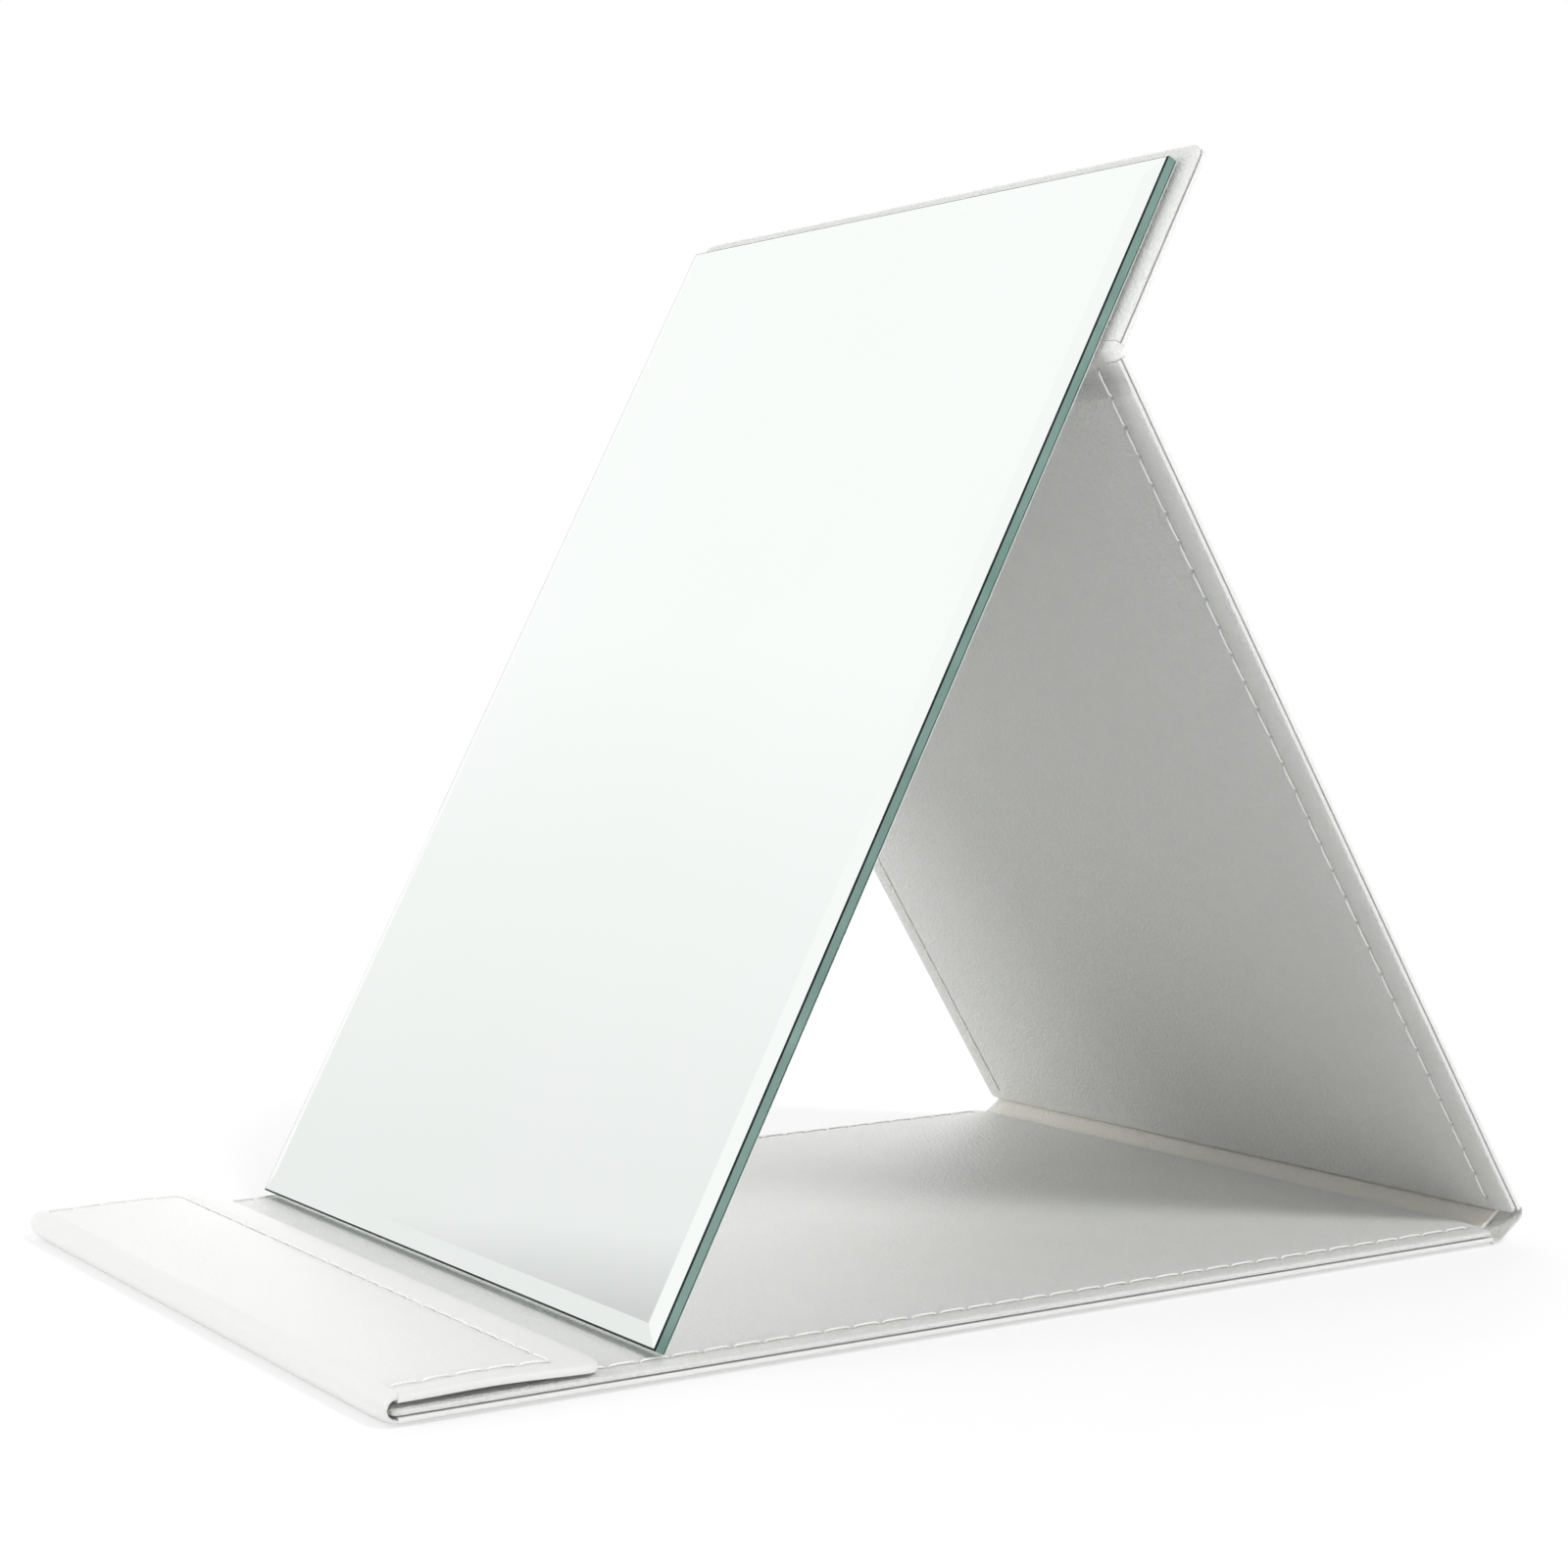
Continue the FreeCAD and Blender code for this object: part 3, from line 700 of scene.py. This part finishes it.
# each side's depth, its depth at base and leg, and its lap over them
spine_skin = (0, 0, 0)
spine_inside = (spine_leather, spine_leather, 0)
spine_face = (spine_lining_depth, spine_lining_end, spine_lap)
spine_strips = []
for name, node, sides, width in (
    ("rear_spine", "rear_spine_cover", (spine_skin, spine_inside), cover_width),
    ("rear_spine_lining", "rear_spine_lining", (spine_inside, spine_face), spine_lining_width),
):
    lower, upper = [], []
    for depth, end_depth, lap in sides:
        middle = spine_middle + (depth - spine_outside) * across_spine
        at_base = base_start + end_depth * direction(90) - lap * direction(0)
        at_leg = leg_foot + end_depth * direction(leg_angle + 90) + lap * direction(leg_angle)
        lower_bend = bend(folds["tilt_fold"], 0, spine_angle, depth, lower_round - depth)
        lower.append([at_base, *lower_bend, middle])
        upper_bend = bend(folds["leg_fold"], spine_angle, leg_angle, depth, upper_round - depth)
        upper.append([middle, *upper_bend[:-1], at_leg])
    spine_strips.append(fold_strip(name + "_lower", *lower, "base", "rear_spine", [node], width))
    spine_strips.append(fold_strip(name + "_upper", *upper, "rear_spine", "leg", [node], width))
warm_toned_leather = leather("warm_toned_leather", (0.81, 0.785, 0.73), (0.75, 0.725, 0.67), 1500, 0.6)
for strip in spine_strips[2:]:
    strip.data.materials[0] = strip.data.materials[1] = warm_toned_leather

# Leg
# The long panel that props the mirror up from behind, made like the base. Its rows of thread show on both
# faces, and its lining is pressed in a band below the top fold, darkened there as painted shade.
leg_board = reach("leg_board", leg_lie)
leg_seam, leg_inner = (corner.z for corner in reach("leg_lining", leg_lie))
leg_row_inset, leg_row_end = 5.5 * mm, 0.8 * mm
leg_rows = side_rows(leg_low.y + row_end, leg_high.y - leg_row_end, leg_high.x - leg_row_inset)
leg_cover = turned_sheet(
    "leg_cover_leather",
    leg_lie,
    leg_low,
    Vector((leg_high.x, leg_high.y, leg_seam - seam_gap)),
    -1,
    leg_board,
    {},
    leg_rows,
)
clad(leg_cover, cover_leather)
leg_lining = turned_sheet(
    "leg_lining_leather",
    leg_lie,
    Vector((leg_low.x, leg_low.y, leg_seam + seam_gap)),
    Vector((leg_high.x, leg_high.y, leg_inner)),
    1,
    leg_board,
    {"low": lining_corner},
    leg_rows,
)
hinge_band, hinge_sink, hinge_painted_shade = 6.5 * mm, 0.45 * mm, 0.9
leg_skin = leg_inner - leg_board[1].z
least_above = 0.01  # keeps the pocket of the board as it is
into_leg = leg_lie.inverted()
into_lining = (leg_lie.to_3x3() @ Vector((0, 0, -1))).normalized()
# The hinge band goes darker through the crease mark: painted shade, for the shadow that falls below the
# fold.
for v, soiling_and_shade in zip(leg_lining.data.vertices, leg_lining.data.attributes["crease"].data):
    place = into_leg @ v.co
    above_board = min((place.z - leg_board[1].z) / leg_skin, 1)
    if above_board > least_above and place.y > leg_high.y - hinge_band:
        share = max(0, math.sin(math.pi * (leg_high.y - place.y) / hinge_band))
        v.co += hinge_sink * share * above_board * into_lining
        soiling_and_shade.value = max(soiling_and_shade.value, hinge_painted_shade * share**0.5)
clad(leg_lining, lining_leather)
for piece, node in ((leg_cover, "leg_cover"), (leg_lining, "leg_lining")):
    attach(piece, "leg")
    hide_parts(node)
leg_faces = [(leg_low.z, -1, leg_rows), (leg_inner, 1, leg_rows)]
sew("leg_thread", leg_lie, leg_faces, "leg", "leg_stitching")

# Top fold
# Where the top strip turns back from the leg, there is no board: the skin folds into a sharp valley
# behind, and the lining runs over it in front in a smooth round.
top_lie = panel_lie("mirror_backing", (0, 0, 1))
top_low, top_high = reach("top_cover", top_lie)
top_lining_low, top_lining_high = reach("top_lining", top_lie)
top_fold = folds["mirror_fold"]
valley_depth = 0.4 * mm
top_ahead = (top_lie.to_3x3() @ Vector((0, 1, 0))).yz
top_angle = math.degrees(math.atan2(top_ahead.y, top_ahead.x))
leg_top_outside = (leg_lie @ Vector((0, leg_high.y, leg_low.z))).yz
leg_top_inside = (leg_lie @ Vector((0, leg_high.y, leg_inner))).yz
top_foot_outside = (top_lie @ Vector((0, top_low.y, top_low.z))).yz
top_foot_inside = (top_lie @ Vector((0, top_low.y, top_lining_high.z))).yz
fold_round = (leg_top_inside - top_fold).dot(direction(leg_angle + 90))
half_fold = math.radians(leg_angle - top_angle) / 2
valley_reach = (leg_inner - leg_low.z - fold_round) / math.cos(half_fold) - valley_depth
valley = top_fold - valley_reach * direction((leg_angle + top_angle) / 2 + 90)
top_strip = fold_strip(
    "top_fold_leather",
    [leg_top_outside, valley, top_foot_outside],
    [leg_top_inside, *arc(top_fold, fold_round, leg_angle + 90, top_angle + 90), top_foot_inside],
    "leg",
    "mirror",
    [],
)

# Top strip
# The short panel above the leg, made like the others. It alone carries the mirror, on its inner face.
# Thread runs along its sides and its free edge.
top_board = reach("top_board", top_lie)
top_seam = top_lining_low.z
top_row = top_high.y - row_inset
top_rows = side_rows(top_low.y + row_end, top_row, row_side)
top_rows.append((Vector((-row_side, top_row)), Vector((row_side, top_row))))
top_corner = 2 * mm
top_cover = turned_sheet(
    "top_cover_leather",
    top_lie,
    top_low,
    Vector((top_high.x, top_high.y, top_seam - seam_gap)),
    -1,
    top_board,
    {"high": top_corner},
    top_rows,
)
clad(top_cover, cover_leather)
top_lining = turned_sheet(
    "top_lining_leather",
    top_lie,
    Vector((top_low.x, top_low.y, top_seam + seam_gap)),
    Vector((top_high.x, top_high.y, top_lining_high.z)),
    1,
    top_board,
    {"high": top_corner},
)
clad(top_lining, lining_leather)
for piece, node in ((top_cover, "top_cover"), (top_lining, "top_lining")):
    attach(piece, "mirror")
    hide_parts(node)
sew("top_thread", top_lie, [(top_low.z, -1, top_rows)], "mirror", "top_stitching")

# Boards
# Grey pulp board stiffens base, leg and top strip, and a thin card the flap.
# They lie in the pockets between skin and lining, and don't show.


def dress(nodes, material):
    """Gives nodes of the frame a better material."""
    for node in nodes:
        slots = frame["nodes"][node].data.materials
        slots.clear()
        slots.append(material)


def pulp_board():
    """Grey board pressed from waste paper, with lighter and darker flecks and a fibrous face."""
    material, tree, skin, place = surface("pulp_board")
    flecks = spotted(tree, place, 700, ((0.24, 0.22, 0.19), (0.4, 0.38, 0.34)), 6)
    tree.links.new(flecks, skin.inputs["Base Color"])
    emboss(tree, skin, flecks, 0.4, 0.1 * mm)
    skin.inputs["Roughness"].default_value = 0.95
    return material


dress(["base_board", "leg_board", "top_board", "flap_board"], pulp_board())

# Magnets and steel plates
# Two flat magnets in the flap's card hold to two steel plates in the top strip when the cover is shut.
# The magnets are nickel plated, and the plates are cut from rolled sheet.


def metal(name, tones, scale, roughness, stretch):
    """Bare metal, streaked along X."""
    material, tree, skin, place = surface(name)
    along = pattern(tree, place, "ShaderNodeMapping", {"Scale": (1 / stretch, 1, 1)})
    streaks = spotted(tree, along.outputs["Vector"], scale, tones, 5)
    tree.links.new(streaks, skin.inputs["Base Color"])
    tree.links.new(between(tree, streaks, *roughness), skin.inputs["Roughness"])
    skin.inputs["Metallic"].default_value = 1
    return material


nickel_tones = ((0.5, 0.48, 0.44), (0.62, 0.6, 0.55))
steel_tones = ((0.42, 0.42, 0.43), (0.58, 0.58, 0.59))
dress(["flap_magnets"], metal("nickel_plate", nickel_tones, 300, (0.2, 0.34), 1))
dress(["top_keepers"], metal("rolled_steel", steel_tones, 900, (0.3, 0.5), 20))

# Tape
# Two strips of white foam tape, sticky on both faces, hold the mirror to the top strip.
# They run across it, hidden between the back of the glass and the lining.


def foam_tape():
    """White foam with fine cells."""
    material, tree, skin, place = surface("foam_tape")
    cells = spotted(tree, place, 1500, ((0.6, 0.6, 0.58), (0.82, 0.82, 0.8)), 2)
    tree.links.new(cells, skin.inputs["Base Color"])
    emboss(tree, skin, cells, 0.5, 0.1 * mm)
    skin.inputs["Roughness"].default_value = 0.9
    return material


dress(["mounting_tape"], foam_tape())

# Mirror back
# Pale grey lacquer over the silvering, which keeps air and damp from it.
# It is sprayed on, so it has a fine orange peel.


def back_lacquer():
    """Sprayed lacquer with a faint orange peel and thin places."""
    material, tree, skin, place = surface("back_lacquer")
    coat = spotted(tree, place, 60, ((0.76, 0.77, 0.76), (0.82, 0.83, 0.82)), 4)
    tree.links.new(coat, skin.inputs["Base Color"])
    peel = pattern(tree, place, "ShaderNodeTexNoise", {"Scale": 650, "Detail": 2})
    emboss(tree, skin, peel.outputs["Fac"], 0.25, 0.05 * mm)
    skin.inputs["Roughness"].default_value = 0.42
    return material


dress(["mirror_backing"], back_lacquer())

# Mirror glass
# A plate of float glass, silvered behind, with a wide bevel ground and polished round its front.
# The cut edge shows the green of the glass, and a fine arris takes the sharpness off it.
# The arris and a thin land in front of it are near black and dull, a painted dark line along the edge.
glass_low, glass_high = reach("mirror_glass", top_lie)
bevel_width, bevel_depth = 3.72 * mm, 0.75 * mm
arris, rim_line = 0.25 * mm, 0.33 * mm
face_on, edge_on = 0.9, 0.1  # how far a face looks to the front, for what is face, arris or cut edge


def silvered(name):
    """The silvering seen through clear glass: a mirror with the faintest green and a trace of haze."""
    material, tree, skin, place = surface(name)
    tint = spotted(tree, place, 12, ((0.935, 0.97, 0.945), (0.945, 0.975, 0.955)))
    tree.links.new(tint, skin.inputs["Base Color"])
    haze = pattern(tree, place, "ShaderNodeTexNoise", {"Scale": 30, "Detail": 5})
    tree.links.new(between(tree, haze.outputs["Fac"], 0.01, 0.035), skin.inputs["Roughness"])
    skin.inputs["Metallic"].default_value = 1
    return material


def cut_glass(name, tones, roughness, shine):
    """The cut and polished edge of the glass, green from the depth behind it."""
    material, tree, skin, place = surface(name)
    depth = spotted(tree, place, 90, tones, 2, (0.3, 0.7))
    tree.links.new(depth, skin.inputs["Base Color"])
    tree.links.new(between(tree, depth, *roughness), skin.inputs["Roughness"])
    skin.inputs["Specular IOR Level"].default_value = shine
    return material


plate_high = Vector((glass_high.x, glass_high.y, glass_high.z - bevel_depth))
bm = block(glass_low, plate_high)
front = [f for f in bm.faces if near(f.calc_center_median().z, plate_high.z)]
back = [f for f in bm.faces if near(f.calc_center_median().z, glass_low.z)]
rim = front[0].edges[:] + back[0].edges[:]
edging = bmesh.ops.inset_region(bm, faces=front, thickness=rim_line, depth=0, use_even_offset=True)
for f in edging["faces"]:
    f.material_index = 2
ground = bevel_width - rim_line
bmesh.ops.inset_region(bm, faces=front, thickness=ground, depth=bevel_depth, use_even_offset=True)
round_over(bm, rim, arris, 1)
bm.normal_update()
for f in bm.faces:
    if f.normal.z < face_on:
        f.material_index = 2 if abs(f.normal.z) > edge_on else 1
mirror_glass = finish_piece("mirror_plate", bm, top_lie, sharp=2)
mirror_glass.data.materials.append(silvered("silvering"))
edge_tones = ((0.13, 0.235, 0.205), (0.2, 0.32, 0.285))
mirror_glass.data.materials.append(cut_glass("glass_edge", edge_tones, (0.1, 0.25), 0.5))
# Near black and dull: a painted dark line along the glass's edge, where clear glass would show dark only
# by its optics.
painted_dark_arris_tones = ((0.008, 0.018, 0.015), (0.02, 0.04, 0.035))
mirror_glass.data.materials.append(cut_glass("glass_arris", painted_dark_arris_tones, (0.4, 0.6), 0.05))
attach(mirror_glass, "mirror")
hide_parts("mirror_glass")

# Floor
# A plain white floor, a wide disc just under the base, that keeps the object's soft shadow.
# It glows a little to the eye and in the mirror, so that it goes over into the white behind it.
floor_radius, floor_drop = 1.25, 0.1 * mm
near_glow, far_glow, mirrored_glow = 0.62, 0.76, 0.52
glow_start, glow_end = 0.15, 0.4
bm = bmesh.new()
bmesh.ops.create_circle(bm, cap_ends=True, segments=96, radius=floor_radius)
bmesh.ops.translate(bm, vec=(0, 0, -floor_drop), verts=bm.verts)
floor = finish_piece("floor", bm)


def floor_finish():
    """White to the eye and in reflections, with part of the shading kept for the shadow."""
    material, tree, skin, place = surface("floor")
    tree.nodes.remove(skin)
    rays = add(tree, "ShaderNodeLightPath")
    seen = add(tree, "ShaderNodeMath", operation="MAXIMUM")
    tree.links.new(rays.outputs["Is Camera Ray"], seen.inputs[0])
    tree.links.new(rays.outputs["Is Glossy Ray"], seen.inputs[1])
    lit = add(tree, "ShaderNodeBsdfDiffuse", {"Color": (0.82, 0.82, 0.82, 1)})
    shaded = add(tree, "ShaderNodeBsdfDiffuse", {"Color": (0.4, 0.4, 0.4, 1)})
    distance = add(tree, "ShaderNodeVectorMath", operation="LENGTH")
    tree.links.new(place, distance.inputs[0])
    shown_glow = between(tree, distance.outputs["Value"], near_glow, far_glow, glow_start, glow_end)
    strength = add(tree, "ShaderNodeMapRange", {"To Max": mirrored_glow})
    tree.links.new(rays.outputs["Is Glossy Ray"], strength.inputs["Value"])
    tree.links.new(shown_glow, strength.inputs["To Min"])
    glow = add(tree, "ShaderNodeEmission")
    tree.links.new(strength.outputs["Result"], glow.inputs["Strength"])
    both = add(tree, "ShaderNodeAddShader")
    tree.links.new(shaded.outputs[0], both.inputs[0])
    tree.links.new(glow.outputs[0], both.inputs[1])
    choice = add(tree, "ShaderNodeMixShader")
    tree.links.new(seen.outputs[0], choice.inputs[0])
    tree.links.new(lit.outputs[0], choice.inputs[1])
    tree.links.new(both.outputs[0], choice.inputs[2])
    tree.links.new(choice.outputs[0], tree.nodes["Material Output"].inputs["Surface"])
    return material


floor.data.materials.append(floor_finish())

# Light
# A white studio: light from all round, stronger from the left, and pale walls that the mirror reflects.
# Soft boxes stand high and low on both sides, and a wide one in front.
studio = bpy.data.worlds.new("studio")
bpy.context.scene.world = studio
studio.use_nodes = True
tree = studio.node_tree
even = tree.nodes["Background"]
even.inputs["Color"].default_value = (1, 1, 1, 1)
toward = add(tree, "ShaderNodeTexCoord").outputs["Generated"]
axes = add(tree, "ShaderNodeSeparateXYZ")
tree.links.new(toward, axes.inputs[0])
rightward = axes.outputs["X"]
left_strength, right_strength = 0.82, 0.1
strength = between(tree, rightward, left_strength, right_strength, -1, 1)
tree.links.new(strength, even.inputs["Strength"])
rays = add(tree, "ShaderNodeLightPath")
seen = add(tree, "ShaderNodeMath", operation="MAXIMUM")
tree.links.new(rays.outputs["Is Camera Ray"], seen.inputs[0])
tree.links.new(rays.outputs["Is Transmission Ray"], seen.inputs[1])
backdrop = add(tree, "ShaderNodeBackground", {"Color": (1, 1, 1, 1), "Strength": 1})
low_front_left = (-0.5, -1, -0.5)
lowness = add(tree, "ShaderNodeVectorMath", {1: low_front_left}, operation="DOT_PRODUCT")
tree.links.new(toward, lowness.inputs[0])
fade = add(tree, "ShaderNodeValToRGB")
room_greys = (
    (0.51, 1), (0.63, 0.93), (0.715, 0.87), (0.74, 0.66), (0.77, 0.66), (0.81, 0.9), (0.89, 0.86),
)
stops = fade.color_ramp.elements
stops[0].position = room_greys[0][0]
stops[1].position = room_greys[-1][0]
for where, grey in room_greys[1:-1]:
    stops.new(where)
for stop, (where, grey) in zip(stops, room_greys):
    stop.color = (grey, grey, grey, 1)
tree.links.new(lowness.outputs["Value"], fade.inputs["Fac"])
wall = between(tree, rightward, 1, 0.72, -0.62, 0.5)
past_wall = between(tree, rightward, 0, 1, -0.84, -0.6)
studio_sides = mixed(tree, past_wall, fade.outputs["Color"], wall)
reflected = add(tree, "ShaderNodeBackground", {"Strength": 1})
tree.links.new(studio_sides, reflected.inputs["Color"])
glossy = add(tree, "ShaderNodeMixShader")
tree.links.new(rays.outputs["Is Glossy Ray"], glossy.inputs[0])
tree.links.new(even.outputs[0], glossy.inputs[1])
tree.links.new(reflected.outputs[0], glossy.inputs[2])
direct = add(tree, "ShaderNodeMixShader")
tree.links.new(seen.outputs[0], direct.inputs[0])
tree.links.new(glossy.outputs[0], direct.inputs[1])
tree.links.new(backdrop.outputs[0], direct.inputs[2])
tree.links.new(direct.outputs[0], tree.nodes["World Output"].inputs["Surface"])
lamp_aim = Vector((0, 0, 0.08))


def soft_lamp(name, place, size, power):
    """A square soft box that points at the object, its size in metres and its power in watts."""
    data = bpy.data.lights.new(name, "AREA")
    data.size = size
    data.energy = power
    lamp = bpy.data.objects.new(name, data)
    lamp.location = place
    lamp.rotation_euler = (lamp_aim - lamp.location).to_track_quat("-Z", "Y").to_euler()
    lamp.visible_camera = False
    bpy.context.scene.collection.objects.link(lamp)
    return lamp


soft_lamp("right_lamp", (0.95, 0.22, 1.13), 0.35, 9)
soft_lamp("side_lamp", (1.3, 0.08, 0.06), 0.15, 5)
soft_lamp("left_lamp", (-1.0, 0.65, 0.62), 0.8, 4.6)
soft_lamp("low_lamp", (-0.55, -0.05, 0.05), 0.25, 0.5).visible_glossy = False
soft_lamp("front_lamp", (-0.3, -1.6, 0.45), 1.1, 15.5).visible_glossy = False

# Camera
# Low in front and well to the right, as in the photograph, with a short telephoto lens.
# Its place, turns and focal length are fitted to the corners and edges of base, leg and glass.
photo_side = 1600
camera_place = Vector((502.65, -299.55, 123.08)) * mm
camera_yaw, camera_pitch, camera_roll = (math.radians(angle) for angle in (58.664, 3.451, -0.874))
focal_pixels = 3131
ahead = Vector((
    -math.sin(camera_yaw) * math.cos(camera_pitch),
    math.cos(camera_yaw) * math.cos(camera_pitch),
    -math.sin(camera_pitch),
))
right = ahead.cross(Vector((0, 0, 1))).normalized()
upright = right.cross(ahead)
level = Matrix((right, upright, -ahead)).transposed().to_4x4()
camera_data = bpy.data.cameras.new("camera")
camera_data.sensor_width = 36
camera_data.lens = focal_pixels / photo_side * camera_data.sensor_width
camera_data.clip_start = 0.01
camera = bpy.data.objects.new("camera", camera_data)
camera.matrix_world = Matrix.Translation(camera_place) @ level @ Matrix.Rotation(camera_roll, 4, "Z")
bpy.context.scene.collection.objects.link(camera)
bpy.context.scene.camera = camera
bpy.context.scene.view_settings.view_transform = "Standard"
